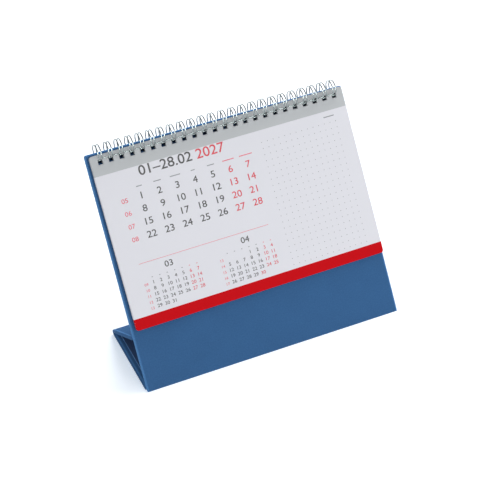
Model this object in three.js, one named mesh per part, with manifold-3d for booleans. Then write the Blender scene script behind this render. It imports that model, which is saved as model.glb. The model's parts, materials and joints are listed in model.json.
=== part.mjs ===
// Easel desk calendar: a cloth-covered board that leans back on a folded foot, twelve punched sheets,
// and a twin-loop wire comb that carries them through square holes in the board.
// Millimetres, +Z up, the printed face looks along -Y. The origin is on the desk, under the base board.
import * as THREE from 'three';
import { mergeVertices } from 'three/addons/utils/BufferGeometryUtils.js';
import Module from 'manifold-3d';

// Sheets
const SHEET_COUNT = 12;
const SHEET_WIDTH = 210;
const SHEET_HEIGHT = 135;
const SHEET_THICKNESS = 0.12;
const SHEET_CORNER = 2;
const SHEET_PITCH = 0.2;                         // plane to plane, so the sheets don't touch
const LAST_SHEET_OFF = 0.9;                      // middle of the last sheet, in front of the board
const SHEET_SHIFT = 0.6;                         // the punched row sits this far right of the middle
const SHEET_SKEW = THREE.MathUtils.degToRad(0.4); // the stack hangs a little turned on the wire
const HOLE_TO_TOP = 5.4;                         // hole row to the sheet's top edge

// Stand
const LEAN = THREE.MathUtils.degToRad(35);       // the front board leans back this far from upright
const BOARD_MARGIN = 2;                          // board that shows on each side of the sheets
const BOARD_WIDTH = SHEET_WIDTH + 2 * BOARD_MARGIN;
const BOARD_HEIGHT = 185;                        // measured up the slope
const BOARD_THICKNESS = 3.0;                     // covered, front face to turned-in cloth
const CORNER_RADIUS = 1.8;
const EDGE_ROUND = 0.6;                          // round of the cloth over the board's edges
const FOOT_OVERHANG = 0.8;                       // the foot sticks out on each side of the board
const FOOT_WIDTH = BOARD_WIDTH + 2 * FOOT_OVERHANG;
const FOOT_THICKNESS = 2.6;                      // covered base board and flap
const FOOT_DEPTH = 72.9;                         // front edge line to the rear nose
const NOSE_RADIUS = 2.8;                         // rear fold between the base and the flap
const ORIGIN_BEHIND_EDGE = 40;                   // origin to the front edge line, along Y
const FLAP_JOIN = 44.1;                          // where the flap's top meets the board, up the slope
const TAB_END = 9.5;                             // lower end of the glued tab, up the slope
const TAB_THICKNESS = 1.2;
const TAB_INSET = 3;                             // the tab stops this far inside the foot's sides
const CLOTH = 0.35;                              // covering cloth with its glue
const GLUE_LINE = 0.05;                          // gap left between pieces that are glued together
const TURN_IN = 14;                              // cloth folded over onto the back of each board
const LINING = 0.2;                              // paper that hides the turned-in cloth
const LINING_INSET = 4;
const LINING_CORNER = 1.5;
const LINING_TO_FLAP = 0.4;                      // from the flap's seam up to the back lining
const SEAM_SINK = 0.05;                          // the tab's cloth is pressed this far into the board's

// Holes and wire
const FINGER_PITCH = 25.4 / 3;                   // three fingers to the inch
const FINGER_COUNT = Math.floor(SHEET_WIDTH / FINGER_PITCH);
const HOLE_SIZE = 4;
const BOARD_HOLES_TO_TOP = 6.4;                  // hole row to the board's top edge
const BOARD_HOLE_ROW = BOARD_HEIGHT - BOARD_HOLES_TO_TOP;
const SHEET_SAG = 0.5;                           // the sheets' holes hang this far below the board's
const SHEET_HOLE_ROW = BOARD_HOLE_ROW - SHEET_SAG;
const WIRE_DIAMETER = 0.9;
const RING_RADIUS = 6.6;                         // centre line of the wire
const RING_ABOVE_HOLES = 6.1;                    // ring centre, above the board's hole row
const RING_UP = BOARD_HOLE_ROW + RING_ABOVE_HOLES;
const RING_OFF = LAST_SHEET_OFF;                 // the rings are centred on the last sheet's plane
const PAIR_HALF = 1.25;                          // half the distance between the two wires of a finger
const SPINE_ANGLE = THREE.MathUtils.degToRad(-46);
const TIP_ANGLE = THREE.MathUtils.degToRad(302);
const BAR_BEND = 1.2;                            // bend radius where a finger runs into the spine
const FINGER_STEPS = 12;
const TIP_STEPS = 4;
const BEND_STEPS = 2;
const WIRE_SIDES = 5;
const CURVE_STEPS = 3;
const NOSE_STEPS = 10;
const OVERCUT = 4;                               // how far a cutting block runs past what it cuts

const wasm = await Module();
wasm.setup();

// A closed three.js geometry as a solid that can be cut and joined.
function solid(geometry, matrix = new THREE.Matrix4()) {
  const bare = geometry.clone().applyMatrix4(matrix);
  bare.deleteAttribute('normal');
  bare.deleteAttribute('uv');
  const merged = mergeVertices(bare, 1e-4);
  return new wasm.Manifold(new wasm.Mesh({
    numProp: 3,
    vertProperties: new Float32Array(merged.attributes.position.array),
    triVerts: new Uint32Array(merged.index.array),
  }));
}

function geometryOf(manifold) {
  const mesh = manifold.getMesh();
  const geometry = new THREE.BufferGeometry();
  geometry.setAttribute('position', new THREE.BufferAttribute(mesh.vertProperties, 3));
  geometry.setIndex(new THREE.BufferAttribute(mesh.triVerts, 1));
  geometry.computeVertexNormals();
  return geometry;
}

function block(x, y, z, matrix) {
  const geometry = new THREE.BoxGeometry(x[1] - x[0], y[1] - y[0], z[1] - z[0]);
  geometry.translate((x[0] + x[1]) / 2, (y[0] + y[1]) / 2, (z[0] + z[1]) / 2);
  return solid(geometry, matrix);
}

function both(half) {
  return [-half, half];
}

// Outline of a rectangle with rounded corners, centred on x, from y low to high.
function roundedRectangle(width, low, high, radius) {
  const half = width / 2;
  const shape = new THREE.Shape();
  shape.moveTo(-half + radius, low);
  shape.lineTo(half - radius, low);
  shape.absarc(half - radius, low + radius, radius, -Math.PI / 2, 0);
  shape.lineTo(half, high - radius);
  shape.absarc(half - radius, high - radius, radius, 0, Math.PI / 2);
  shape.lineTo(-half + radius, high);
  shape.absarc(-half + radius, high - radius, radius, Math.PI / 2, Math.PI);
  shape.lineTo(-half, low + radius);
  shape.absarc(-half + radius, low + radius, radius, Math.PI, 1.5 * Math.PI);
  return shape;
}

// A panel with its back at z 0: rounded in plan, and rounded over its edges where round is given.
function panel(width, low, high, thickness, corner, round = 0) {
  const shape = roundedRectangle(width - 2 * round, low + round, high - round, corner - round);
  const geometry = new THREE.ExtrudeGeometry(shape, {
    depth: thickness - 2 * round,
    bevelEnabled: round > 0,
    bevelSize: round,
    bevelThickness: round,
    bevelSegments: CURVE_STEPS,
    curveSegments: CURVE_STEPS,
  });
  return geometry.translate(0, 0, round);
}

// The leaning frame: x across, y up the slope, z out of the board's front face.
const leaning = new THREE.Group();
leaning.rotation.x = Math.PI / 2 - LEAN;
leaning.position.y = -ORIGIN_BEHIND_EDGE;
leaning.updateMatrix();

// A point of the leaning frame in the side view, as (y, z) of the part.
function sideView(up, off) {
  const point = new THREE.Vector3(0, up, off).applyMatrix4(leaning.matrix);
  return new THREE.Vector2(point.y, point.z);
}

// Where the plane at off behind the board crosses the height z.
function boardAtHeight(off, z) {
  return sideView((z - off * Math.sin(LEAN)) / Math.cos(LEAN), off);
}

// The foot in side view: the flap's top is tangent to the rear nose and ends at the board's back.
const nose = new THREE.Vector2(FOOT_DEPTH - ORIGIN_BEHIND_EDGE - NOSE_RADIUS, NOSE_RADIUS);
const tabBack = -(BOARD_THICKNESS - SEAM_SINK);
const tabFace = -(BOARD_THICKNESS + TAB_THICKNESS);
const join = sideView(FLAP_JOIN, tabBack);
const reach = join.distanceTo(nose);
const flapSlope = Math.atan2(join.y - nose.y, nose.x - join.x) - Math.asin(NOSE_RADIUS / reach);
const along = new THREE.Vector2(-Math.cos(flapSlope), Math.sin(flapSlope));
const outward = new THREE.Vector2(Math.sin(flapSlope), Math.cos(flapSlope));
const flapStart = nose.clone().addScaledVector(outward, NOSE_RADIUS);
const flapFrame = new THREE.Matrix4().makeBasis(
  new THREE.Vector3(1, 0, 0),
  new THREE.Vector3(0, -along.x, -along.y),
  new THREE.Vector3(0, outward.x, outward.y),
).setPosition(0, flapStart.x, flapStart.y);

// A point of the flap: distance up from the nose, and depth below its top face.
function flapPoint(distance, depth) {
  return flapStart.clone().addScaledVector(along, distance).addScaledVector(outward, -depth);
}

// Where the line at a depth under the flap's top crosses the height z, or the plane at off.
function flapAtHeight(depth, z) {
  const start = flapPoint(0, depth);
  return start.clone().addScaledVector(along, (z - start.y) / along.y);
}

function flapAtBoard(depth, off) {
  const start = flapPoint(0, depth);
  const plane = sideView(0, off);
  const facing = new THREE.Vector2(-Math.cos(LEAN), Math.sin(LEAN));
  return start.clone().addScaledVector(along, plane.clone().sub(start).dot(facing) / along.dot(facing));
}

// Extrudes an outline of the side view to both sides of the middle.
function acrossSolid(points, width) {
  const geometry = new THREE.ExtrudeGeometry(new THREE.Shape(points), { depth: width, bevelEnabled: false });
  geometry.translate(0, 0, -width / 2);
  const turn = new THREE.Matrix4().makeBasis(
    new THREE.Vector3(0, 1, 0), new THREE.Vector3(0, 0, 1), new THREE.Vector3(1, 0, 0));
  return solid(geometry, turn);
}

function aboveHeight(height) {
  return block(both(BOARD_WIDTH), both(2 * BOARD_HEIGHT), [height, 2 * BOARD_HEIGHT]);
}

const baseFront = boardAtHeight(-BOARD_THICKNESS, FOOT_THICKNESS).x;
const coreSide = CLOTH + GLUE_LINE;
const liningLow = FLAP_JOIN + LINING_TO_FLAP;
const tabLiningLow = TAB_END + LINING_INSET;
const fingerX = Array.from({ length: FINGER_COUNT }, (_, i) => (i - (FINGER_COUNT - 1) / 2) * FINGER_PITCH);

// Punches the row of square holes through a piece of the stand.
function punched(piece) {
  let left = piece;
  for (const x of fingerX) {
    const centre = SHEET_SHIFT + x;
    left = left.subtract(block(
      [centre - HOLE_SIZE / 2, centre + HOLE_SIZE / 2],
      [BOARD_HOLE_ROW - HOLE_SIZE / 2, BOARD_HOLE_ROW + HOLE_SIZE / 2],
      [-BOARD_THICKNESS - OVERCUT, OVERCUT],
      leaning.matrix,
    ));
  }
  return left;
}

// Cloth: one length that wraps the board, folds under it, and goes on round the base, nose, flap and tab.
function clothCover() {
  const boardBlank = panel(BOARD_WIDTH, 0, BOARD_HEIGHT, BOARD_THICKNESS, CORNER_RADIUS, EDGE_ROUND)
    .translate(0, 0, -BOARD_THICKNESS);
  const boardPocket = block(
    both(BOARD_WIDTH / 2 - CLOTH), [-OVERCUT, BOARD_HEIGHT - CLOTH],
    [-BOARD_THICKNESS + CLOTH, -CLOTH], leaning.matrix);
  const boardWindow = block(
    both(BOARD_WIDTH / 2 - TURN_IN), [liningLow - GLUE_LINE, BOARD_HEIGHT - TURN_IN],
    [-BOARD_THICKNESS - OVERCUT, -BOARD_THICKNESS / 2], leaning.matrix);
  const boardCloth = solid(boardBlank, leaning.matrix)
    .intersect(aboveHeight(0))
    .subtract(boardPocket.add(boardWindow).intersect(aboveHeight(CLOTH)));
  const bottomFold = block(both(BOARD_WIDTH / 2), [-ORIGIN_BEHIND_EDGE + CLOTH, baseFront + CLOTH], [0, CLOTH]);
  return punched(boardCloth.add(bottomFold).add(footCloth()));
}

function footCloth() {
  const outline = [boardAtHeight(tabBack, 0), new THREE.Vector2(nose.x, 0)];
  for (let i = 1; i < NOSE_STEPS; i += 1) {
    const angle = -Math.PI / 2 + (i / NOSE_STEPS) * (Math.PI - flapSlope);
    outline.push(new THREE.Vector2(
      nose.x + NOSE_RADIUS * Math.cos(angle), nose.y + NOSE_RADIUS * Math.sin(angle)));
  }
  outline.push(
    flapStart, join, flapAtBoard(FOOT_THICKNESS, tabBack),
    flapAtHeight(FOOT_THICKNESS, FOOT_THICKNESS), boardAtHeight(tabBack, FOOT_THICKNESS));
  const tabOutline = [
    sideView(TAB_END, tabBack), sideView(TAB_END, tabFace),
    flapAtBoard(FOOT_THICKNESS / 2, tabFace), flapAtBoard(FOOT_THICKNESS / 2, tabBack)];
  const pocketHalf = FOOT_WIDTH / 2 - CLOTH;
  const windowHalf = FOOT_WIDTH / 2 - TURN_IN;
  const { baseEnd, flapLow, flapHigh } = footCores();
  const inner = [CLOTH, FOOT_THICKNESS - CLOTH];
  const basePocket = block(both(pocketHalf), [baseFront + CLOTH, baseEnd + GLUE_LINE], inner);
  const baseWindow = block(
    both(windowHalf), [baseFront + LINING_INSET - GLUE_LINE, baseEnd + GLUE_LINE],
    [FOOT_THICKNESS / 2, FOOT_THICKNESS + CLOTH]);
  const flapPocket = block(
    both(pocketHalf), [-flapHigh - GLUE_LINE, -flapLow + GLUE_LINE],
    [-inner[1], -inner[0]], flapFrame);
  const flapWindow = block(
    both(windowHalf), [-flapHigh + LINING_INSET - GLUE_LINE, -flapLow - LINING_INSET + GLUE_LINE],
    [-FOOT_THICKNESS - CLOTH, -FOOT_THICKNESS / 2], flapFrame);
  const tab = tabCore();
  const tabPocket = block(
    both(pocketHalf - TAB_INSET), [tab.low - GLUE_LINE, tab.high + GLUE_LINE],
    [tab.face - GLUE_LINE, tab.back + GLUE_LINE], leaning.matrix);
  const tabWindow = block(
    both(windowHalf), [tabLiningLow - GLUE_LINE, tab.high - LINING_INSET + GLUE_LINE],
    [tabFace - CLOTH, tab.face], leaning.matrix);
  return [basePocket, baseWindow, flapPocket, flapWindow, tabPocket, tabWindow]
    .reduce(
      (left, cut) => left.subtract(cut),
      acrossSolid(outline, FOOT_WIDTH).add(acrossSolid(tabOutline, FOOT_WIDTH - 2 * TAB_INSET)));
}

// Where the base and flap cores start and end, clear of the fold at the nose and of the tab.
function footCores() {
  const boardSide = flapAtBoard(FOOT_THICKNESS / 2, tabFace).distanceTo(flapPoint(0, FOOT_THICKNESS / 2));
  return {
    baseEnd: nose.x - GLUE_LINE,
    flapLow: NOSE_RADIUS / 2,
    flapHigh: boardSide - CLOTH,
  };
}

// The thin card that stiffens the tab, in the leaning frame.
function tabCore() {
  return {
    low: TAB_END + coreSide,
    high: FLAP_JOIN - FOOT_THICKNESS - coreSide,
    back: tabBack - coreSide,
    face: tabFace + coreSide,
  };
}

function frontBoard() {
  const core = block(
    both(BOARD_WIDTH / 2 - coreSide), [-OVERCUT, BOARD_HEIGHT - coreSide],
    [-BOARD_THICKNESS + coreSide, -coreSide], leaning.matrix);
  return punched(core.intersect(aboveHeight(coreSide)));
}

function baseBoard() {
  const { baseEnd } = footCores();
  return block(
    both(FOOT_WIDTH / 2 - coreSide), [baseFront + coreSide, baseEnd],
    [coreSide, FOOT_THICKNESS - coreSide]);
}

function flapBoard() {
  const { flapLow, flapHigh } = footCores();
  return block(
    both(FOOT_WIDTH / 2 - coreSide), [-flapHigh, -flapLow],
    [-FOOT_THICKNESS + coreSide, -coreSide], flapFrame);
}

function tabCard() {
  const tab = tabCore();
  return block(
    both(FOOT_WIDTH / 2 - TAB_INSET - coreSide), [tab.low, tab.high], [tab.face, tab.back], leaning.matrix);
}

// Lining on the back of the board, from just above the flap to the top. It fills the window in the cloth.
function backLining() {
  const high = BOARD_HEIGHT - LINING_INSET;
  const plate = panel(BOARD_WIDTH - 2 * LINING_INSET, liningLow, high, LINING, LINING_CORNER)
    .translate(0, 0, -BOARD_THICKNESS - GLUE_LINE - LINING);
  const infill = block(
    both(BOARD_WIDTH / 2 - TURN_IN - GLUE_LINE), [liningLow, BOARD_HEIGHT - TURN_IN - GLUE_LINE],
    [-BOARD_THICKNESS - GLUE_LINE - LINING / 2, -BOARD_THICKNESS + CLOTH], leaning.matrix);
  return punched(solid(plate, leaning.matrix).add(infill));
}

// A bent strip inside the foot, between two heights over the inner faces of the base, flap and tab.
function footStrip(from, to, width) {
  const edge = (height) => [
    new THREE.Vector2(baseFront + LINING_INSET, FOOT_THICKNESS + height),
    flapAtHeight(FOOT_THICKNESS + height, FOOT_THICKNESS + height),
    flapAtBoard(FOOT_THICKNESS + height, tabFace - height),
    sideView(tabLiningLow, tabFace - height),
  ];
  return acrossSolid([...edge(from), ...edge(to).reverse()], width);
}

function footLining() {
  const fillHalf = FOOT_WIDTH / 2 - TURN_IN - GLUE_LINE;
  const { baseEnd, flapLow, flapHigh } = footCores();
  const deep = GLUE_LINE + LINING / 2;
  const baseFill = block(
    both(fillHalf), [baseFront + LINING_INSET, baseEnd],
    [FOOT_THICKNESS - CLOTH, FOOT_THICKNESS + deep]);
  const flapFill = block(
    both(fillHalf), [-flapHigh + LINING_INSET, -flapLow - LINING_INSET],
    [-FOOT_THICKNESS - deep, -FOOT_THICKNESS + CLOTH], flapFrame);
  const tabFill = block(
    both(fillHalf), [tabLiningLow, tabCore().high - LINING_INSET],
    [tabFace - deep, tabFace + CLOTH], leaning.matrix);
  return [baseFill, flapFill, tabFill].reduce(
    (lining, fill) => lining.add(fill),
    footStrip(GLUE_LINE, GLUE_LINE + LINING, FOOT_WIDTH - 2 * LINING_INSET));
}

// One sheet, drawn about the middle of its punched row.
function sheetGeometry() {
  const blank = panel(SHEET_WIDTH, HOLE_TO_TOP - SHEET_HEIGHT, HOLE_TO_TOP, SHEET_THICKNESS, SHEET_CORNER)
    .translate(0, 0, -SHEET_THICKNESS / 2);
  const half = HOLE_SIZE / 2;
  return geometryOf(fingerX.reduce(
    (left, x) => left.subtract(block([x - half, x + half], both(half), both(SHEET_THICKNESS))),
    solid(blank),
  ));
}

// Path of the comb on its cylinder, unrolled: x across, and the distance round the ring from angle 0.
function combPath() {
  const low = RING_RADIUS * SPINE_ANGLE;
  const high = RING_RADIUS * TIP_ANGLE - PAIR_HALF;
  const path = [];
  // A point of the quarter bend between a finger's wire and the spine: part 0 on the wire, 1 on the spine.
  const bend = (x, side, part) => {
    const turn = (part * Math.PI) / 2;
    return [x + side * BAR_BEND * (1 - Math.cos(turn)), low + BAR_BEND * (1 - Math.sin(turn))];
  };
  fingerX.forEach((x, finger) => {
    if (finger > 0) {
      for (let i = BEND_STEPS; i > 0; i -= 1) path.push(bend(x - PAIR_HALF, -1, i / BEND_STEPS));
    }
    for (let i = 0; i <= FINGER_STEPS; i += 1) {
      path.push([x - PAIR_HALF, low + BAR_BEND + (high - low - BAR_BEND) * (i / FINGER_STEPS)]);
    }
    for (let i = 1; i < TIP_STEPS; i += 1) {
      const turn = Math.PI * (1 - i / TIP_STEPS);
      path.push([x + PAIR_HALF * Math.cos(turn), high + PAIR_HALF * Math.sin(turn)]);
    }
    for (let i = FINGER_STEPS; i >= 0; i -= 1) {
      path.push([x + PAIR_HALF, low + BAR_BEND + (high - low - BAR_BEND) * (i / FINGER_STEPS)]);
    }
    if (finger < FINGER_COUNT - 1) {
      for (let i = 1; i <= BEND_STEPS; i += 1) path.push(bend(x + PAIR_HALF, 1, i / BEND_STEPS));
    }
  });
  return path.map(([x, round]) => {
    const angle = round / RING_RADIUS;
    return new THREE.Vector3(x, RING_RADIUS * Math.sin(angle), RING_RADIUS * Math.cos(angle));
  });
}

// The wire as one closed tube along the comb's path. Its section keeps one side on the ring's radius.
function combGeometry() {
  const path = combPath();
  const corners = [];
  path.forEach((point, i) => {
    const ahead = path[Math.min(i + 1, path.length - 1)];
    const behind = path[Math.max(i - 1, 0)];
    const radial = new THREE.Vector3(0, point.y, point.z).normalize();
    const side = new THREE.Vector3().subVectors(ahead, behind).cross(radial).normalize();
    for (let k = 0; k < WIRE_SIDES; k += 1) {
      const angle = (2 * Math.PI * k) / WIRE_SIDES;
      corners.push(point.clone()
        .addScaledVector(radial, (WIRE_DIAMETER / 2) * Math.cos(angle))
        .addScaledVector(side, (WIRE_DIAMETER / 2) * Math.sin(angle)));
    }
  });
  const index = [];
  for (let i = 0; i < path.length - 1; i += 1) {
    for (let k = 0; k < WIRE_SIDES; k += 1) {
      const a = i * WIRE_SIDES + k;
      const b = i * WIRE_SIDES + ((k + 1) % WIRE_SIDES);
      index.push(a, b, b + WIRE_SIDES, a, b + WIRE_SIDES, a + WIRE_SIDES);
    }
  }
  const last = corners.length - WIRE_SIDES;
  for (let k = 1; k < WIRE_SIDES - 1; k += 1) {
    index.push(0, k + 1, k, last, last + k, last + k + 1);
  }
  const geometry = new THREE.BufferGeometry();
  geometry.setAttribute('position', new THREE.Float32BufferAttribute(corners.flatMap((c) => c.toArray()), 3));
  geometry.setIndex(index);
  geometry.computeVertexNormals();
  return geometry;
}

const cloth = new THREE.MeshStandardMaterial({ color: 0x375e8b, roughness: 0.75 });
const greyboard = new THREE.MeshStandardMaterial({ color: 0x8d8a80, roughness: 0.9 });
const liningPaper = new THREE.MeshStandardMaterial({ color: 0x2f5480, roughness: 0.8 });
const paper = new THREE.MeshStandardMaterial({ color: 0xe0e2e6, roughness: 0.6 });
const wire = new THREE.MeshStandardMaterial({ color: 0xc9ccce, roughness: 0.3, metalness: 1 });

const calendar = new THREE.Group();

function named(name, geometry, material) {
  const mesh = new THREE.Mesh(geometry, material);
  mesh.name = name;
  return mesh;
}

const standPieces = [
  ['cloth_cover', clothCover, cloth],
  ['front_board', frontBoard, greyboard],
  ['base_board', baseBoard, greyboard],
  ['flap_board', flapBoard, greyboard],
  ['tab_card', tabCard, greyboard],
  ['back_lining', backLining, liningPaper],
  ['foot_lining', footLining, liningPaper],
];
for (const [name, make, material] of standPieces) {
  calendar.add(named(name, geometryOf(make()), material));
}

const comb = named('wire_comb', combGeometry(), wire);
comb.position.set(SHEET_SHIFT, RING_UP, RING_OFF);
leaning.add(comb);

const sheetForm = sheetGeometry();
for (let number = 1; number <= SHEET_COUNT; number += 1) {
  const sheet = named(`sheet_${String(number).padStart(2, '0')}`, sheetForm, paper);
  sheet.position.set(SHEET_SHIFT, SHEET_HOLE_ROW, LAST_SHEET_OFF + (SHEET_COUNT - number) * SHEET_PITCH);
  sheet.rotation.z = SHEET_SKEW;
  leaning.add(sheet);
}
calendar.add(leaning);

export default calendar;
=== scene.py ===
"""Finishes for an easel desk calendar: book cloth over board, printed sheets and a silver wire comb."""

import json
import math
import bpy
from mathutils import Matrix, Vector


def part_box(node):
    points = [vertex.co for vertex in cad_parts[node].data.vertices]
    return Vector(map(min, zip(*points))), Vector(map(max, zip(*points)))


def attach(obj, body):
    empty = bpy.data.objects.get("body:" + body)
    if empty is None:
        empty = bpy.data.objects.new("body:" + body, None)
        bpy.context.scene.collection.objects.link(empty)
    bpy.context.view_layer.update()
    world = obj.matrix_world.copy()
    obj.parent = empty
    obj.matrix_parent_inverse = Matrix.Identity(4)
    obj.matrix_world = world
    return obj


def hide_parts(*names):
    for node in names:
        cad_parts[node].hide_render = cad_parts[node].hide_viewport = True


bl_info = {
    "name": "Easel Desk Calendar",
    "version": (1, 0, 0),
    "blender": (4, 5, 0),
    "location": "3D View > Sidebar > Calendar",
    "description": "Dresses a cloth-covered desk calendar with its paper, ink, cloth and wire",
    "category": "Object",
}

import bmesh
import bpy
from mathutils import Matrix, Vector

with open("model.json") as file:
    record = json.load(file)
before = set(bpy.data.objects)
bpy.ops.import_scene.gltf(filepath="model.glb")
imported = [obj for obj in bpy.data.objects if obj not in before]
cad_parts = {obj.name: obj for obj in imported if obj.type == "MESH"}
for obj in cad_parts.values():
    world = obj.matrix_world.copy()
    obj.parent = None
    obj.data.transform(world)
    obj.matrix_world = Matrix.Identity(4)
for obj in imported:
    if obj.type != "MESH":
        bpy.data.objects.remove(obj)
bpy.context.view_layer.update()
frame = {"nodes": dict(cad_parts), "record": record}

MM = 0.001
CLOTH = 0.4 * MM
EDGE_BAND = 1.5 * MM
SAME_PLACE = 1e-7
CORNER_STEPS = 6
NODES = frame["nodes"]
SHEETS = sorted(name for name in NODES if name.startswith("sheet_"))
TOP_SHEET = SHEETS[0]
BOARD_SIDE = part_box("front_board")[1][0] + CLOTH


def joint_place(name):
    """Where a hinge of the frame lies, in metres."""
    joints = frame["record"]["behaviour"]["joints"]
    return Vector(next(j for j in joints if j["name"] == name)["pos_m"])


class CalendarStandSizes(bpy.types.PropertyGroup):
    """The covered board and its foot"""

    lean: bpy.props.FloatProperty(
        name="Lean", description="How far the board leans back from upright",
        default=math.radians(35), subtype="ANGLE")
    height: bpy.props.FloatProperty(
        name="Height", description="Height of the board, up the slope", default=0.185, unit="LENGTH")
    hole_row: bpy.props.FloatProperty(
        name="Hole row", description="The board's punched row, up the slope", default=0.1786, unit="LENGTH")
    edge_line: bpy.props.FloatProperty(
        name="Edge line", description="Y of the board's front bottom edge",
        default=-0.040, unit="LENGTH")
    edge_soft: bpy.props.FloatProperty(
        name="Edge softness", description="Round of the cloth over a sharp edge",
        default=0.00014, unit="LENGTH")
    thread: bpy.props.FloatProperty(
        name="Thread spacing", description="Distance between the threads of the book cloth",
        default=0.00085, unit="LENGTH")


class CalendarSheetSizes(bpy.types.PropertyGroup):
    """The punched sheets and what is printed on them, from the middle of the punched row"""

    width: bpy.props.FloatProperty(
        name="Width", description="Width of a sheet", default=0.210, unit="LENGTH")
    height: bpy.props.FloatProperty(
        name="Height", description="Height of a sheet", default=0.135, unit="LENGTH")
    thickness: bpy.props.FloatProperty(
        name="Thickness", description="Thickness of a sheet", default=0.00012, unit="LENGTH")
    corner: bpy.props.FloatProperty(
        name="Corner", description="Radius of a sheet's corners", default=0.002, unit="LENGTH")
    hole_to_top: bpy.props.FloatProperty(
        name="Hole to top", description="Punched row to the top edge", default=0.0054, unit="LENGTH")
    hole_row: bpy.props.FloatProperty(
        name="Hole row", description="Punched row, up the slope", default=0.1781, unit="LENGTH")
    shift: bpy.props.FloatProperty(
        name="Shift", description="Middle of the punched row, right of the board's middle",
        default=0.0006, unit="LENGTH")
    last_off: bpy.props.FloatProperty(
        name="Last sheet", description="Middle of the last sheet, in front of the board",
        default=0.0009, unit="LENGTH")
    pitch: bpy.props.FloatProperty(
        name="Pitch", description="Distance from sheet to sheet", default=0.0002, unit="LENGTH")
    skew: bpy.props.FloatProperty(
        name="Skew", description="How far the stack is turned on the wire",
        default=math.radians(0.4), subtype="ANGLE")
    header: bpy.props.FloatProperty(
        name="Header", description="Punched row to the lower edge of the grey band",
        default=0.0099, unit="LENGTH")
    footer: bpy.props.FloatProperty(
        name="Footer", description="Height of the red band", default=0.0088, unit="LENGTH")


class CalendarWireSizes(bpy.types.PropertyGroup):
    """The twin-loop wire comb"""

    fingers: bpy.props.IntProperty(
        name="Fingers", description="Number of fingers of the comb", default=24)
    pitch: bpy.props.FloatProperty(
        name="Finger pitch", description="Three fingers to the inch", default=0.0254 / 3, unit="LENGTH")
    hole: bpy.props.FloatProperty(
        name="Hole", description="Side of a punched hole", default=0.004, unit="LENGTH")
    diameter: bpy.props.FloatProperty(
        name="Wire", description="Diameter of the wire", default=0.00088, unit="LENGTH")
    radius: bpy.props.FloatProperty(
        name="Ring", description="Radius of a finger's ring, at the middle of the wire",
        default=0.0064, unit="LENGTH")
    half_pair: bpy.props.FloatProperty(
        name="Half pair", description="Half the distance between a finger's two wires",
        default=0.00125, unit="LENGTH")
    bend: bpy.props.FloatProperty(
        name="Spine bend", description="Bend radius where a finger meets the spine",
        default=0.0012, unit="LENGTH")
    spine: bpy.props.FloatProperty(
        name="Spine angle", description="Where the spine lies on the ring",
        default=math.radians(-46), subtype="ANGLE")
    tip: bpy.props.FloatProperty(
        name="Tip angle", description="Where the finger tips lie on the ring",
        default=math.radians(302), subtype="ANGLE")


def colour_property(name, description, value):
    """A setting that holds a colour as text."""
    return bpy.props.StringProperty(name=name, description=description, default=value)


class CalendarColours(bpy.types.PropertyGroup):
    """Finishes, as sRGB hex values"""

    cloth: colour_property("Cloth", "Dyed book cloth", "3A6595")
    # The rubbed colour is also a painted highlight, standing for light caught on the board's edges.
    cloth_worn: colour_property("Rubbed and highlit cloth", "Cloth where its edges are rubbed, with a painted highlight", "5C95D2")
    lining: colour_property("Lining", "Endpaper inside the foot and on the back", "2E5280")
    # The edge colour is partly a painted highlight, standing for light caught on the lining's edge.
    lining_edge: colour_property("Lining edge and highlight", "Cut edge of the endpaper, with a painted highlight", "6FA3DC")
    greyboard: colour_property("Greyboard", "Uncoated board under the cloth", "8F8B80")
    paper: colour_property("Paper", "Offset paper", "E7E8EF")
    header: colour_property("Header", "Grey printed band", "C3C7CA")
    footer: colour_property("Footer", "Red printed band", "CC000F")
    ink: colour_property("Ink", "Black printed numerals", "2E2F31")
    red_ink: colour_property("Red ink", "Red printed numerals", "D2223A")
    pale_red: colour_property("Pale red ink", "Thin red numerals and rules", "DE5A6C")
    grey_ink: colour_property("Grey ink", "Small grey marks and dots", "858990")
    wire: colour_property("Wire", "Silver lacquered wire", "8C9695")
    floor: colour_property("Floor", "Plain pale floor", "E6E6E6")


class CalendarStageSettings(bpy.types.PropertyGroup):
    """Camera, lamps and floor"""

    azimuth: bpy.props.FloatProperty(
        name="Azimuth", description="Camera direction round the object",
        default=math.radians(-23.495), subtype="ANGLE")
    elevation: bpy.props.FloatProperty(
        name="Elevation", description="Camera height as an angle",
        default=math.radians(39.618), subtype="ANGLE")
    roll: bpy.props.FloatProperty(
        name="Roll", description="Turn of the camera about its own axis",
        default=math.radians(-1.34), subtype="ANGLE")
    distance: bpy.props.FloatProperty(
        name="Distance", description="Camera to the point it aims past", default=1.2256, unit="LENGTH")
    aim: bpy.props.FloatVectorProperty(
        name="Aim", description="Point the camera is placed about", default=(-0.0069, -0.010, 0.070))
    slide: bpy.props.FloatVectorProperty(
        name="Slide", description="Sideways move of the camera", size=2, default=(-0.008088, 0.016686))
    lens: bpy.props.FloatProperty(
        name="Lens", description="Focal length in mm on a 36 mm sensor", default=120.81)
    sky: bpy.props.FloatProperty(
        name="Sky", description="Strength of the soft light from all round", default=0.62)


GROUPS = {
    "calendar_stand": CalendarStandSizes,
    "calendar_sheets": CalendarSheetSizes,
    "calendar_wire": CalendarWireSizes,
    "calendar_colours": CalendarColours,
    "calendar_stage": CalendarStageSettings,
}


def srgb(code):
    """An sRGB hex value as linear red, green, blue and alpha."""
    parts = [int(code[i:i + 2], 16) / 255 for i in (0, 2, 4)]
    return [c / 12.92 if c <= 0.04045 else ((c + 0.055) / 1.055) ** 2.4 for c in parts] + [1.0]


def add(tree, kind, inputs=None, **settings):
    """Adds a node, sets its properties, and sets its inputs to values or links them to sockets."""
    node = tree.nodes.new(kind)
    for name, value in settings.items():
        setattr(node, name, value)
    for key, value in (inputs or {}).items():
        if isinstance(value, bpy.types.NodeSocket):
            tree.links.new(value, node.inputs[key])
        else:
            node.inputs[key].default_value = value
    return node


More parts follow.
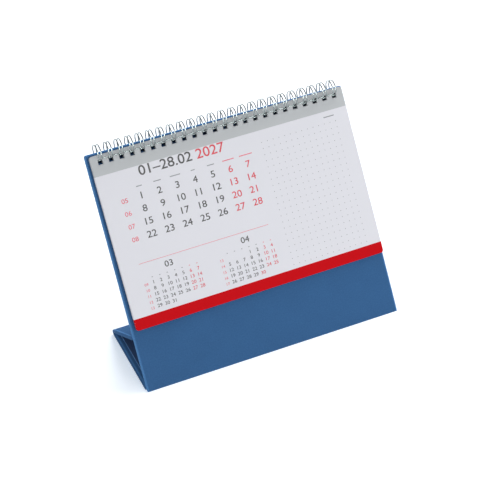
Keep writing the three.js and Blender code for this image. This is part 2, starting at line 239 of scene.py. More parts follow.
def calc(tree, operation, first, second=0.0):
    """One step of arithmetic between sockets or numbers."""
    return add(tree, "ShaderNodeMath", {0: first, 1: second}, operation=operation).outputs[0]


def ramp(tree, value, low, high, start=0.0, end=1.0, **settings):
    """Turns the range from low to high into the range from start to end."""
    inputs = {0: value, 1: low, 2: high, 3: start, 4: end}
    return add(tree, "ShaderNodeMapRange", inputs, **settings).outputs[0]


def blend(tree, factor, first, second, **settings):
    """Mixes two colours."""
    inputs = {0: factor, 6: first, 7: second}
    return add(tree, "ShaderNodeMix", inputs, data_type="RGBA", **settings).outputs[2]


def grain(tree, place, spacing, detail, **inputs):
    """Noise whose spots lie about one spacing apart, in metres."""
    values = {"Vector": place, "Scale": 1 / spacing, "Detail": detail, **inputs}
    return add(tree, "ShaderNodeTexNoise", values).outputs["Fac"]


def shade(colour, factor, lift=0.0):
    """A linear colour made darker or lighter."""
    return [min(1.0, part * factor + lift) for part in colour[:3]] + [1.0]


def start_material(name, **inputs):
    """A node material with the values of its shader, its output, and the place on the piece."""
    material = bpy.data.materials.new(name)
    material.use_nodes = True
    tree = material.node_tree
    tree.nodes.clear()
    values = {key.replace("_", " "): value for key, value in inputs.items()}
    shader = add(tree, "ShaderNodeBsdfPrincipled", values)
    add(tree, "ShaderNodeOutputMaterial", {"Surface": shader.outputs["BSDF"]})
    place = add(tree, "ShaderNodeTexCoord").outputs["Object"]
    return material, tree, shader, place


def bump(tree, shader, height, strength, depth):
    """Gives a shader's surface a relief that is too fine for geometry."""
    node = add(tree, "ShaderNodeBump", {"Strength": strength, "Distance": depth, "Height": height})
    tree.links.new(node.outputs["Normal"], shader.inputs["Normal"])


def leaning_frame(stand):
    """Matrix of the frame that leans with the board: across, up the slope, out of the front face."""
    return Matrix.Translation((0, stand.edge_line, 0)) @ Matrix.Rotation(math.pi / 2 - stand.lean, 4, "X")


def book_cloth(scene):
    """Book cloth, woven cotton dyed blue and starched: matt, with a fine plain weave and mottled dye."""
    colours, stand = scene.calendar_colours, scene.calendar_stand
    material, tree, shader, place = start_material(
        "book_cloth_woven_cotton", Roughness=0.82, Specular_IOR_Level=0.05, Sheen_Weight=0.02,
        Sheen_Roughness=0.5)
    lean = stand.lean
    shifted = (0, -stand.edge_line * math.sin(lean), stand.edge_line * math.cos(lean))
    turned = add(
        tree, "ShaderNodeMapping",
        {"Vector": place, "Location": shifted, "Rotation": (lean - math.pi / 2, 0, 0)}).outputs["Vector"]
    # A wave texture repeats every pi / 10 of its own scale, so the thread spacing sets that scale.
    rate = math.pi / 10 / stand.thread
    weave = 0.0
    for direction in "XYZ":
        threads = add(
            tree, "ShaderNodeTexWave",
            {"Vector": turned, "Scale": rate, "Distortion": 0.7, "Detail": 1.0, "Detail Scale": 2.0},
            wave_type="BANDS", bands_direction=direction).outputs["Fac"]
        weave = calc(tree, "ADD", weave, threads)
    # Slubs, where a thread is thicker, show as a mottle. The dye took unevenly over larger patches.
    slub = grain(tree, turned, 1.11 * MM, 4.0, Roughness=0.65)
    dye = grain(tree, turned, 22.2 * MM, 3.0, Roughness=0.6)
    base = srgb(colours.cloth)
    mottle = blend(tree, slub, shade(base, 0.74), shade(base, 1.25))
    patches = ramp(tree, dye, 0.3, 0.7, 0.97, 1.03)
    dyed = blend(tree, 1.0, mottle, patches, blend_type="MULTIPLY")
    # Rubbed edges, lightened further by a painted highlight where they would catch the light.
    worn_and_lit = blend(tree, edge_wear(tree, turned, slub, stand.height), dyed, srgb(colours.cloth_worn))
    tree.links.new(worn_and_lit, shader.inputs["Base Color"])
    height = calc(tree, "ADD", weave, calc(tree, "MULTIPLY", slub, 1.4))
    bump(tree, shader, height, 0.35, 0.12 * MM)
    return material


def edge_wear(tree, turned, slub, top):
    """How rubbed the cloth is, with a painted highlight where its edges catch the light: most along the
    board's side and top edges, broken up by the slubs.
    """
    parts = add(tree, "ShaderNodeSeparateXYZ", {0: turned}).outputs
    across = calc(tree, "ABSOLUTE", parts["X"])
    sides = ramp(tree, across, BOARD_SIDE - EDGE_BAND, BOARD_SIDE - 0.1 * MM)
    # The foot is wider than the board and lies in its shade, so its sides get neither the rubbed colour nor
    # the painted highlight.
    sides = calc(tree, "MULTIPLY", sides, calc(tree, "LESS_THAN", across, BOARD_SIDE + 0.2 * MM))
    tops = ramp(tree, parts["Y"], top - EDGE_BAND, top - 0.1 * MM)
    band = calc(tree, "MAXIMUM", sides, tops)
    return calc(tree, "MULTIPLY", band, ramp(tree, slub, 0.3, 0.7, 0.45, 0.95))


def endpaper(scene):
    """Endpaper, uncoated coloured paper: matt, with short fibres, and lighter at its trimmed edge, partly
    from the paper's pale edge and partly as a painted highlight.
    """
    colours = scene.calendar_colours
    material, tree, shader, place = start_material(
        "endpaper_uncoated", Roughness=0.9, Specular_IOR_Level=0.3)
    fibres = grain(tree, place, 0.714 * MM, 3.0, Distortion=1.2)
    base = srgb(colours.lining)
    tone = blend(tree, fibres, shade(base, 0.92), shade(base, 1.08))
    side = calc(tree, "ABSOLUTE", add(tree, "ShaderNodeSeparateXYZ", {0: place}).outputs["X"])
    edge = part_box("foot_lining")[1][0]
    # A pale band along the lining's outer edge: partly the paper's pale cut edge, partly a painted highlight.
    edge_band_and_highlight = ramp(tree, side, edge - 0.6 * MM, edge - 0.4 * MM)
    tree.links.new(blend(tree, edge_band_and_highlight, tone, srgb(colours.lining_edge)), shader.inputs["Base Color"])
    bump(tree, shader, fibres, 0.2, 0.03 * MM)
    return material


def greyboard(scene):
    """Greyboard, pressed waste paper: flecked grey, matt and slightly rough."""
    material, tree, shader, place = start_material("greyboard_pressed", Roughness=0.95)
    flecks = grain(tree, place, 0.909 * MM, 5.0, Roughness=0.7)
    base = srgb(scene.calendar_colours.greyboard)
    tree.links.new(blend(tree, flecks, shade(base, 0.75), shade(base, 1.2)), shader.inputs["Base Color"])
    bump(tree, shader, flecks, 0.3, 0.06 * MM)
    return material


def offset_paper(scene):
    """Offset paper, calendered and printed: smooth and bright, with faint fibres under the ink bands."""
    colours, sizes = scene.calendar_colours, scene.calendar_sheets
    material, tree, shader, place = start_material(
        "offset_paper_calendered", Roughness=0.62, Specular_IOR_Level=0.05)
    fibres = grain(tree, place, 0.4545 * MM, 4.0, Distortion=0.8)
    base = srgb(colours.paper)
    colour = blend(tree, fibres, shade(base, 0.975), shade(base, 1.02))
    parts = add(tree, "ShaderNodeSeparateXYZ", {0: place}).outputs
    # Only the front is printed: the back of each sheet stays bare.
    front = calc(tree, "GREATER_THAN", parts["Z"], 0.0)
    foot_line = sizes.hole_to_top - sizes.height + sizes.footer
    for test, line, ink in (
            ("GREATER_THAN", -sizes.header, colours.header), ("LESS_THAN", foot_line, colours.footer)):
        band = calc(tree, "MULTIPLY", calc(tree, test, parts["Y"], line), front)
        colour = blend(tree, band, colour, srgb(ink))
    tree.links.new(colour, shader.inputs["Base Color"])
    bump(tree, shader, fibres, 0.12, 0.02 * MM)
    return material


def offset_ink(name, code):
    """Offset ink, a thin dry film: it takes the paper's fibres, and is a little uneven in strength."""
    material, tree, shader, place = start_material(name, Roughness=0.55)
    fibres = grain(tree, place, 0.3846 * MM, 3.0)
    base = srgb(code)
    tone = blend(tree, fibres, shade(base, 0.92), shade(base, 1.1, lift=0.004))
    tree.links.new(tone, shader.inputs["Base Color"])
    return material


def lacquered_wire(scene):
    """Steel wire with silver lacquer, drawn and bent: bright, with faint drawing marks."""
    material, tree, shader, place = start_material(
        "steel_wire_silver_lacquer", Metallic=1.0, Coat_Weight=0.25, Coat_Roughness=0.2)
    marks = grain(tree, place, 0.5556 * MM, 2.0)
    base = srgb(scene.calendar_colours.wire)
    tree.links.new(blend(tree, marks, shade(base, 0.85), base), shader.inputs["Base Color"])
    tree.links.new(ramp(tree, marks, 0.0, 1.0, 0.16, 0.26), shader.inputs["Roughness"])
    return material


def new_piece(name, mesh, material):
    """Puts a mesh in the scene as a piece with one material."""
    piece = bpy.data.objects.new(name, mesh)
    bpy.context.collection.objects.link(piece)
    mesh.materials.clear()
    mesh.materials.append(material)
    return piece


def dress_node(name, material):
    """Gives a CAD node its finish."""
    node = NODES[name]
    node.data.materials.clear()
    node.data.materials.append(material)


def softened(name, width, segments):
    """A copy of a node's mesh with its flat faces merged and its sharp edges rounded."""
    flat, sharp, crease = math.radians(1), math.radians(30), math.radians(40)
    mesh = NODES[name].data.copy()
    shape = bmesh.new()
    shape.from_mesh(mesh)
    bmesh.ops.remove_doubles(shape, verts=shape.verts, dist=10 * SAME_PLACE)
    bmesh.ops.dissolve_limit(
        shape, angle_limit=flat, use_dissolve_boundaries=False,
        verts=shape.verts, edges=shape.edges, delimit=set())
    edges = [e for e in shape.edges if e.is_manifold and e.calc_face_angle() > sharp]
    bmesh.ops.bevel(
        shape, geom=edges, offset=width, segments=segments, profile=0.5, affect="EDGES", clamp_overlap=True)
    shape.to_mesh(mesh)
    shape.free()
    mesh.polygons.foreach_set("use_smooth", [True] * len(mesh.polygons))
    mesh.set_sharp_from_angle(angle=crease)
    return mesh


def rounded_outline(left, right, low, high, radius):
    """Corner points of a rounded rectangle, anticlockwise."""
    points = []
    for x, y, start in (
            (right - radius, low + radius, -90), (right - radius, high - radius, 0),
            (left + radius, high - radius, 90), (left + radius, low + radius, 180)):
        for i in range(CORNER_STEPS + 1):
            angle = math.radians(start + 90 * i / CORNER_STEPS)
            points.append((x + radius * math.cos(angle), y + radius * math.sin(angle)))
    return points


def plate_mesh(name, outlines, low, high):
    """A flat plate from closed outlines, the inner ones as holes, between two heights."""
    curve = bpy.data.curves.new(name, "CURVE")
    curve.dimensions = "2D"
    curve.fill_mode = "BOTH"
    curve.extrude = (high - low) / 2
    for points in outlines:
        spline = curve.splines.new("POLY")
        spline.points.add(len(points) - 1)
        for point, (x, y) in zip(spline.points, points):
            point.co = (x, y, 0, 1)
        spline.use_cyclic_u = True
    mesh = curve_mesh(curve)
    mesh.transform(Matrix.Translation((0, 0, (high + low) / 2)))
    return mesh


def curve_mesh(curve):
    """A welded mesh of a curve, which is then dropped."""
    draft = bpy.data.objects.new("draft", curve)
    mesh = bpy.data.meshes.new_from_object(draft)
    bpy.data.objects.remove(draft)
    bpy.data.curves.remove(curve)
    weld(mesh)
    return mesh


def weld(mesh):
    """Joins corners that lie on each other, and turns all faces out."""
    shape = bmesh.new()
    shape.from_mesh(mesh)
    bmesh.ops.remove_doubles(shape, verts=shape.verts, dist=SAME_PLACE)
    bmesh.ops.recalc_face_normals(shape, faces=shape.faces)
    shape.to_mesh(mesh)
    shape.free()


def finger_places(wire):
    """X of the middle of each finger, from the middle of the comb."""
    return [(i - (wire.fingers - 1) / 2) * wire.pitch for i in range(wire.fingers)]


def sheet_frame(scene, number):
    """Matrix of a sheet: x across, y up, z out of its face, from the middle of its punched row."""
    sizes = scene.calendar_sheets
    off = sizes.last_off + (len(SHEETS) - number) * sizes.pitch
    place = Matrix.Translation((sizes.shift, sizes.hole_row, off))
    return leaning_frame(scene.calendar_stand) @ place @ Matrix.Rotation(sizes.skew, 4, "Z")


class CalendarCover(bpy.types.Operator):
    """Cloth cover, with its edges softened"""

    bl_idname = "calendar.cover"
    bl_label = "Cloth cover"

    def execute(self, context):
        scene = context.scene
        mesh = softened("cloth_cover", scene.calendar_stand.edge_soft, 2)
        piece = new_piece("cloth_wrap", mesh, book_cloth(scene))
        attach(piece, "stand")
        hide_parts("cloth_cover")
        return {"FINISHED"}


class CalendarBoards(bpy.types.Operator):
    """Greyboard under the cloth, the endpaper linings, and lining patches that close the punched holes so
    they show dark as shade
    """

    bl_idname = "calendar.boards"
    bl_label = "Boards and linings"

    # The lining patches' two faces behind the board's front, and the slits that the wires pass through. The
    # patches are there so that the holes show dark, standing in for the shade seen through them.
    LINING_OFF = (-3.22 * MM, -3.08 * MM)
    SLIT_WIDTH = 1.3 * MM
    SLIT_LOW = 179.0 * MM

    def execute(self, context):
        scene = context.scene
        board, lining = greyboard(scene), endpaper(scene)
        for name in ("front_board", "base_board", "flap_board", "tab_card"):
            dress_node(name, board)
        for name in ("back_lining", "foot_lining"):
            dress_node(name, lining)
        self.slit_lining(scene, lining)
        return {"FINISHED"}

    def slit_lining(self, scene, lining):
        """Lining patches across the punched holes, put there so that the holes show dark as shade, slit only
        where the two wires of a finger pass.
        """
        stand, wire = scene.calendar_stand, scene.calendar_wire
        half, slit = wire.hole / 2, self.SLIT_WIDTH / 2
        low, high = stand.hole_row - half, stand.hole_row + half
        outlines = []
        for x in finger_places(wire):
            middle = scene.calendar_sheets.shift + x
            outline = [(middle - half, low), (middle + half, low), (middle + half, high)]
            for side in (1, -1):
                wire_x = middle + side * wire.half_pair
                outline += [
                    (wire_x + slit, high), (wire_x + slit, self.SLIT_LOW),
                    (wire_x - slit, self.SLIT_LOW), (wire_x - slit, high)]
            outlines.append(outline + [(middle - half, high)])
        mesh = plate_mesh("hole_shade_patches", outlines, *self.LINING_OFF)
        mesh.transform(leaning_frame(stand))
        piece = new_piece("slit_lining", mesh, lining)
        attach(piece, "stand")


class CalendarWire(bpy.types.Operator):
    """Wire comb, one round wire bent into twin fingers and their spine"""

    bl_idname = "calendar.wire"
    bl_label = "Wire comb"

    FINGER_STEPS = 44
    TIP_STEPS = 12
    BEND_STEPS = 6
    SIDES = 14

    def path(self, wire):
        """Path of the wire on its unrolled cylinder: x, and the distance round the ring."""
        low = wire.radius * wire.spine
        high = wire.radius * wire.tip - wire.half_pair
        climb = high - low - wire.bend
        places = finger_places(wire)
        path = []
        for finger, x in enumerate(places):
            left, right = x - wire.half_pair, x + wire.half_pair
            if finger > 0:
                for i in range(self.BEND_STEPS):
                    turn = math.pi / 2 * (1 - i / self.BEND_STEPS)
                    path.append((
                        left - wire.bend * (1 - math.cos(turn)), low + wire.bend * (1 - math.sin(turn))))
            path += [(left, low + wire.bend + climb * i / self.FINGER_STEPS)
                     for i in range(self.FINGER_STEPS + 1)]
            for i in range(1, self.TIP_STEPS):
                turn = math.pi * (1 - i / self.TIP_STEPS)
                path.append((x + wire.half_pair * math.cos(turn), high + wire.half_pair * math.sin(turn)))
            path += [(right, high - climb * i / self.FINGER_STEPS) for i in range(self.FINGER_STEPS + 1)]
            if finger < len(places) - 1:
                for i in range(1, self.BEND_STEPS + 1):
                    turn = math.pi / 2 * i / self.BEND_STEPS
                    path.append((
                        right + wire.bend * (1 - math.cos(turn)), low + wire.bend * (1 - math.sin(turn))))
        return path

    def mesh(self, wire):
        """The wire as a closed tube along its path."""
        points = []
        for x, distance in self.path(wire):
            angle = distance / wire.radius
            points.append(Vector((x, wire.radius * math.sin(angle), wire.radius * math.cos(angle))))
        corners, faces = [], []
        for i, point in enumerate(points):
            ahead, behind = points[min(i + 1, len(points) - 1)], points[max(i - 1, 0)]
            radial = Vector((0, point.y, point.z)).normalized()
            side = (ahead - behind).cross(radial).normalized()
            for k in range(self.SIDES):
                angle = 2 * math.pi * k / self.SIDES
                corners.append(
                    point + (radial * math.cos(angle) + side * math.sin(angle)) * wire.diameter / 2)
        for i in range(len(points) - 1):
            for k in range(self.SIDES):
                a, b = i * self.SIDES + k, i * self.SIDES + (k + 1) % self.SIDES
                faces.append((a, b, b + self.SIDES, a + self.SIDES))
        last = len(corners) - self.SIDES
        faces.append(tuple(reversed(range(self.SIDES))))
        faces.append(tuple(range(last, last + self.SIDES)))
        mesh = bpy.data.meshes.new("wire")
        mesh.from_pydata([tuple(c) for c in corners], [], faces)
        mesh.polygons.foreach_set("use_smooth", [True] * len(mesh.polygons))
        mesh.set_sharp_from_angle(angle=math.radians(60))
        return mesh

    def execute(self, context):
        scene = context.scene
        wire = scene.calendar_wire
        mesh = self.mesh(wire)
        centre = joint_place("wire_turn")
        mesh.transform(
            Matrix.Translation((scene.calendar_sheets.shift, centre.y, centre.z))
            @ Matrix.Rotation(math.pi / 2 - scene.calendar_stand.lean, 4, "X"))
        piece = new_piece("wire_binding", mesh, lacquered_wire(scene))
        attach(piece, "comb")
        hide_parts("wire_comb")
        return {"FINISHED"}


class CalendarSheets(bpy.types.Operator):
    """Punched sheets, each with its grey header and red footer"""

    bl_idname = "calendar.sheets"
    bl_label = "Sheets"

    # How far the lower sheets slip out of line on the wire, sideways and up, at the most. With more,
    # the wire would cut the edges of their holes at the end of the turn.
    SLIP_SIDE = 0.28 * MM
    SLIP_UP = 0.35 * MM

    def slip(self, number):
        """A small fixed slip for each sheet but the first."""
        if number == 1:
            return Vector((0, 0, 0))
        side = self.SLIP_SIDE * math.sin(2.4 * number)
        up = self.SLIP_UP * (0.5 + 0.5 * math.cos(1.7 * number))
        return Vector((side, up, 0))

    def execute(self, context):
        scene = context.scene
        sizes, wire = scene.calendar_sheets, scene.calendar_wire
        half = wire.hole / 2
        outlines = [rounded_outline(
            -sizes.width / 2, sizes.width / 2, sizes.hole_to_top - sizes.height, sizes.hole_to_top,
            sizes.corner)]
        outlines += [
            [(x - half, -half), (x + half, -half), (x + half, half), (x - half, half)]
            for x in finger_places(wire)]
        paper = offset_paper(scene)
        for number, node in enumerate(SHEETS, 1):
            mesh = plate_mesh(node, outlines, -sizes.thickness / 2, sizes.thickness / 2)
            piece = new_piece(f"paper_{number:02d}", mesh, paper)
            piece.matrix_world = sheet_frame(scene, number) @ Matrix.Translation(self.slip(number))
            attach(piece, node)
            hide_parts(node)
        return {"FINISHED"}


class CalendarPrint(bpy.types.Operator):
    """Plain numbers, rules and dots printed on the top sheet"""

    bl_idname = "calendar.print"
    bl_label = "Print"

    # Places and sizes are in mm, from the middle of the punched row. A number's size is its type's body.
    FILM = 0.012 * MM
    LIFT = 0.003 * MM
    WIDEN = 1.1
    WEIGHT = 0.008
    # First column and row of a grid, and the steps to the next ones.
    DATE_COLUMNS = (-73.7, 14.65)
    DATE_ROWS = (-32.3, -10.0)
    DATE_SIZE = 7.4
    DATE_MONTH = {"first_column": 0, "days": 28}
    DATE_WEEKS = {"first": 5, "count": 4, "x": -87.4, "rows": (-33.1, -9.95), "size": 5.0}
    TITLE_ROW = -14.4
    TITLE_SIZE = 10.7
    TITLES = {"period": ("01–28.02", -49.4), "year": ("2027", -12.6)}
    # Columns and rows of the two small months, their first day's column, and days in red besides.
    SMALL_COLUMN = 6.1
    SMALL_ROW = -4.6
    SMALL_SIZE = 3.7
    SMALL_WEEK_SIZE = 2.9
    SMALL_TITLE_SIZE = 6.6
    SMALL_MONTHS = (
        {"title": ("03", -67.1, -87.4), "left": -82.5, "first": 0, "days": 31, "red": (),
         "week": (9, -88.5, -98.2)},
        {"title": ("04", -3.9, -87.6), "left": -20.6, "first": 3, "days": 30, "red": (30,),
         "week": (13, -26.4, -98.0)},
    )
    SMALL_TOP = -97.6
    SMALL_WEEKS = 5
    # Bars stand for the names of the days: one width for each day of the week.
    DAY_BARS = (4.6, 6.0, 8.4, 3.2, 5.8, 9.6, 10.8)
    DAY_BAR_ROW = -24.8
    BAR_HEIGHT = 0.7
    INITIAL_BAR = (1.0, 0.5)
    INITIAL_ROW = -93.5
    WORK_DAYS = 5
    WEEK_DAYS = 7
    LABEL_BAR = (88.6, -14.4, 9.0, 0.7)
    RULE = (-36.2, -81.5, 107.4, 0.3)
    DOTS_ACROSS = 14
    DOTS_DOWN = 21
    FIRST_DOT = (29.5, -19.2)
    DOT_STEP = 4.91
    DOT_RADIUS = 0.31
    DOT_SIDES = 8

    def film(self, name, material, meshes):
        """Joins drafts into one thin film of ink on the top sheet."""
        shape = bmesh.new()
        for mesh in meshes:
            shape.from_mesh(mesh)
            bpy.data.meshes.remove(mesh)
        joined = bpy.data.meshes.new(name)
        shape.to_mesh(joined)
        shape.free()
        thickness = self.scene.calendar_sheets.thickness
        piece = new_piece(name, joined, material)
        piece.matrix_world = (
            sheet_frame(self.scene, 1) @ Matrix.Translation((0, 0, thickness / 2 + self.LIFT)))
        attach(piece, TOP_SHEET)

    def figure(self, text, x, y, size):
        """One number as a thin closed mesh, centred on its place."""
        weight = self.WEIGHT * size * MM
        curve = bpy.data.curves.new("figure", "FONT")
        curve.body = text
        curve.size = size * MM
        curve.align_x = "CENTER"
        curve.align_y = "CENTER"
        curve.resolution_u = 4
        # A bevel makes the strokes bolder, and is then pressed flat. An offset would fill in the 4.
        curve.bevel_resolution = 0
        curve.bevel_depth = weight
        curve.extrude = weight / 2
        mesh = curve_mesh(curve)
        pressed = Matrix.Diagonal((self.WIDEN, 1, self.FILM / (3 * weight), 1))
        mesh.transform(Matrix.Translation((x * MM, y * MM, self.FILM / 2)) @ pressed)
        return mesh

    def bar(self, x, y, width, height):
        """A plain printed bar, centred on its place."""
        points = [
            (MM * (x + i * width / 2), MM * (y + j * height / 2))
            for i, j in ((-1, -1), (1, -1), (1, 1), (-1, 1))]
        return plate_mesh("bar", [points], 0, self.FILM)

    def month(self, columns, rows, size, first_column, days, red_days=()):
        """Numbers of one month in rows of a week, split into black ones and red ones."""
        black, red = [], []
        for day in range(1, days + 1):
            week, column = divmod(day - 1 + first_column, self.WEEK_DAYS)
            x = columns[0] + columns[1] * column
            y = rows[0] + rows[1] * week
            target = red if column >= self.WORK_DAYS or day in red_days else black
            target.append(self.figure(str(day), x, y, size))
        return black, red

    def weeks(self, first, count, x, rows, size):
        """Numbers of the weeks, one under the other."""
        return [self.figure(f"{first + i:02d}", x, rows[0] + rows[1] * i, size) for i in range(count)]

    def dots(self):
        """A grid of dots for notes."""
        found = []
        for i in range(self.DOTS_ACROSS):
            for j in range(self.DOTS_DOWN):
                x = self.FIRST_DOT[0] + self.DOT_STEP * i
                y = self.FIRST_DOT[1] - self.DOT_STEP * j
                turns = [2 * math.pi * k / self.DOT_SIDES for k in range(self.DOT_SIDES)]
                points = [
                    (MM * (x + self.DOT_RADIUS * math.cos(turn)), MM * (y + self.DOT_RADIUS * math.sin(turn)))
                    for turn in turns]
                found.append(plate_mesh("dot", [points], 0, self.FILM))
        return found

    def day_bars(self, days):
        """Bars over the dates of some days of the week, in the large month and the small ones."""
        bars = [
            self.bar(self.DATE_COLUMNS[0] + self.DATE_COLUMNS[1] * i, self.DAY_BAR_ROW, self.DAY_BARS[i],
                     self.BAR_HEIGHT)
            for i in days]
        bars += [
            self.bar(small["left"] + self.SMALL_COLUMN * i, self.INITIAL_ROW, *self.INITIAL_BAR)
            for small in self.SMALL_MONTHS for i in days]
        return bars

    def execute(self, context):
        self.scene = context.scene
        colours = self.scene.calendar_colours
        black = offset_ink("offset_ink_black", colours.ink)
        red = offset_ink("offset_ink_red", colours.red_ink)
        pale = offset_ink("offset_ink_pale_red", colours.pale_red)
        grey = offset_ink("offset_ink_grey", colours.grey_ink)
        dates = self.month(self.DATE_COLUMNS, self.DATE_ROWS, self.DATE_SIZE, **self.DATE_MONTH)
        self.film("dates", black, dates[0])
        self.film("red_dates", red, dates[1])
        for (name, (text, x)), ink in zip(self.TITLES.items(), (black, red)):
            self.film(name, ink, [self.figure(text, x, self.TITLE_ROW, self.TITLE_SIZE)])
        small_black, small_red, titles = [], [], []
        weeks = self.weeks(**self.DATE_WEEKS)
        for small in self.SMALL_MONTHS:
            numbers = self.month(
                (small["left"], self.SMALL_COLUMN), (self.SMALL_TOP, self.SMALL_ROW), self.SMALL_SIZE,
                small["first"], small["days"], small["red"])
            small_black += numbers[0]
            small_red += numbers[1]
            titles.append(self.figure(*small["title"], self.SMALL_TITLE_SIZE))
            first, x, top = small["week"]
            weeks += self.weeks(first, self.SMALL_WEEKS, x, (top, self.SMALL_ROW), self.SMALL_WEEK_SIZE)
        self.film("small_dates", black, small_black + titles)
        self.film("small_red_dates", red, small_red)
        self.film("week_numbers", pale, weeks)
        self.film("rule", pale, [self.bar(*self.RULE)])
        self.film("day_bars", grey, self.day_bars(range(self.WORK_DAYS)) + [self.bar(*self.LABEL_BAR)])
        self.film("rest_day_bars", pale, self.day_bars(range(self.WORK_DAYS, self.WEEK_DAYS)))
        self.film("note_dots", grey, self.dots())
        return {"FINISHED"}


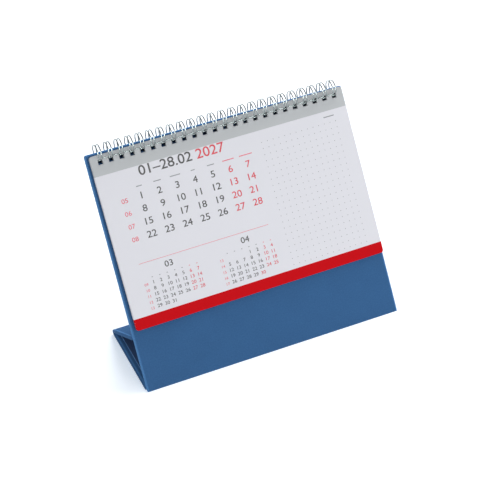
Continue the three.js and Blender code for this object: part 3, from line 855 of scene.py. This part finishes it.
class CalendarStage(bpy.types.Operator):
    """Floor, lamps, sky and camera"""

    bl_idname = "calendar.stage"
    bl_label = "Stage"

    # The lamps aim here. Place, size, watts, and whether a lamp only gleams on shiny pieces.
    MIDDLE = (0, 0.02, 0.08)
    LAMPS = {
        "back_lamp": ((0.7, 0.7, 1.2), (0.9, 0.7), 17.0, False),
        "gleam_lamp": ((-1.1, -0.75, 0.45), (0.7, 0.7), 26.0, True),
        "bar_lamp": ((0.45, -1.0, 1.05), (0.7, 0.5), 14.0, True),
        "front_fill": ((0.6, -1.4, 1.0), (1.4, 1.0), 6.6, False),
    }
    FLOOR_REACH = 6.0
    FLOOR_DROP = 0.05 * MM
    # The floor's cool glow near the object and far off, and how far those two are from it.
    GLOW_COLOUR = (0.74, 0.86, 1.0, 1.0)
    GLOW = (0.47, 0.72)
    GLOW_REACH = (0.4, 1.0)
    # How high, as the Z of a direction, the white backdrop ends and the dim ceiling begins.
    CEILING = (0.5, 0.8)
    CEILING_STRENGTH = 0.08

    def floor(self, scene):
        """Painted floor, plain and matt: it shows white to the camera and keeps the object's shadow."""
        material, tree, shader, place = start_material(
            "painted_floor", Base_Color=srgb(scene.calendar_colours.floor), Roughness=0.9,
            Specular_IOR_Level=0.1, Emission_Color=self.GLOW_COLOUR)
        away = add(tree, "ShaderNodeVectorMath", {0: place}, operation="LENGTH").outputs["Value"]
        # The lamps fade on the far floor, so its glow rises there and no horizon shows.
        needed = ramp(tree, away, *self.GLOW_REACH, *self.GLOW)
        glow = calc(tree, "MULTIPLY", needed, self.seen(tree))
        tree.links.new(glow, shader.inputs["Emission Strength"])
        mesh = bpy.data.meshes.new("floor")
        corners = [(x * self.FLOOR_REACH, y * self.FLOOR_REACH, 0) for x, y in (
            (-1, -1), (1, -1), (1, 1), (-1, 1))]
        mesh.from_pydata(corners, [], [(0, 1, 2, 3)])
        mesh.materials.append(material)
        floor = bpy.data.objects.new("floor", mesh)
        floor.location.z = -self.FLOOR_DROP
        bpy.context.collection.objects.link(floor)

    def world(self, scene):
        """Soft light from all round. The camera and shiny pieces see a white backdrop and a dim ceiling."""
        world = bpy.data.worlds.new("studio")
        scene.world = world
        world.use_nodes = True
        tree = world.node_tree
        tree.nodes.clear()
        direction = add(tree, "ShaderNodeTexCoord").outputs["Generated"]
        up = add(tree, "ShaderNodeSeparateXYZ", {0: direction}).outputs["Z"]
        backdrop = ramp(
            tree, up, *self.CEILING, 1.0, self.CEILING_STRENGTH, interpolation_type="SMOOTHSTEP")
        strength = add(
            tree, "ShaderNodeMix", {0: self.seen(tree), 2: scene.calendar_stage.sky, 3: backdrop}).outputs[0]
        sky = add(tree, "ShaderNodeBackground", {"Color": (1, 1, 1, 1), "Strength": strength})
        add(tree, "ShaderNodeOutputWorld", {"Surface": sky.outputs[0]})

    def seen(self, tree):
        """1 for the rays that should meet the white background: the camera's, and those off metal."""
        rays = add(tree, "ShaderNodeLightPath").outputs
        seen = rays["Is Camera Ray"]
        for kind in ("Is Glossy Ray", "Is Transmission Ray"):
            seen = calc(tree, "MAXIMUM", seen, rays[kind])
        return seen

    def lamp(self, name, place, size, power, mirrored):
        """A soft lamp that lights the object, or one that only shows as a gleam on shiny pieces."""
        light = bpy.data.lights.new(name, "AREA")
        light.shape = "RECTANGLE"
        light.size, light.size_y = size
        light.energy = power
        lamp = bpy.data.objects.new(name, light)
        lamp.location = place
        aim = Vector(self.MIDDLE) - Vector(place)
        lamp.rotation_euler = aim.to_track_quat("-Z", "Y").to_euler()
        lamp.visible_glossy = mirrored
        lamp.visible_diffuse = not mirrored
        bpy.context.collection.objects.link(lamp)

    def camera(self, scene):
        """Camera at the photo's place, rolled and slid as the photo was framed."""
        stage = scene.calendar_stage
        a, e = stage.azimuth, stage.elevation
        back = Vector((math.sin(a) * math.cos(e), -math.cos(a) * math.cos(e), math.sin(e)))
        right = Vector((math.cos(a), math.sin(a), 0))
        up = back.cross(right)
        turned_right = right * math.cos(stage.roll) + up * math.sin(stage.roll)
        turned_up = up * math.cos(stage.roll) - right * math.sin(stage.roll)
        place = (Vector(stage.aim) + back * stage.distance
                 + turned_right * stage.slide[0] + turned_up * stage.slide[1])
        turn = Matrix((turned_right, turned_up, back)).transposed().to_4x4()
        camera = bpy.data.cameras.new("camera")
        camera.lens = stage.lens
        camera.sensor_width = 36
        camera.clip_start = 0.01
        view = bpy.data.objects.new("camera", camera)
        view.matrix_world = Matrix.Translation(place) @ turn
        bpy.context.collection.objects.link(view)
        scene.camera = view

    def execute(self, context):
        scene = context.scene
        scene.view_settings.view_transform = "Standard"
        self.floor(scene)
        self.world(scene)
        for name, settings in self.LAMPS.items():
            self.lamp(name, *settings)
        self.camera(scene)
        return {"FINISHED"}


class CalendarPanel(bpy.types.Panel):
    """Lists the calendar's sizes, colours and makers"""

    bl_idname = "CALENDAR_PT_makers"
    bl_label = "Calendar"
    bl_space_type = "VIEW_3D"
    bl_region_type = "UI"
    bl_category = "Calendar"

    def draw(self, context):
        for group in GROUPS:
            box = self.layout.box()
            settings = getattr(context.scene, group)
            for name in settings.bl_rna.properties.keys():
                if name not in {"rna_type", "name"}:
                    box.prop(settings, name)
        for maker in MAKERS:
            self.layout.operator(maker.bl_idname)


MAKERS = (CalendarStage, CalendarCover, CalendarBoards, CalendarWire, CalendarSheets, CalendarPrint)
CLASSES = (*GROUPS.values(), *MAKERS, CalendarPanel)


def register():
    """Adds the calendar's classes and settings to the program."""
    for kind in CLASSES:
        bpy.utils.register_class(kind)
    for name, kind in GROUPS.items():
        setattr(bpy.types.Scene, name, bpy.props.PointerProperty(type=kind))


def unregister():
    """Takes them away again."""
    for name in GROUPS:
        delattr(bpy.types.Scene, name)
    for kind in reversed(CLASSES):
        bpy.utils.unregister_class(kind)


def main():
    """Makes the whole scene."""
    register()
    for maker in MAKERS:
        group, name = maker.bl_idname.split(".")
        getattr(getattr(bpy.ops, group), name)()


if __name__ == "__main__":
    main()
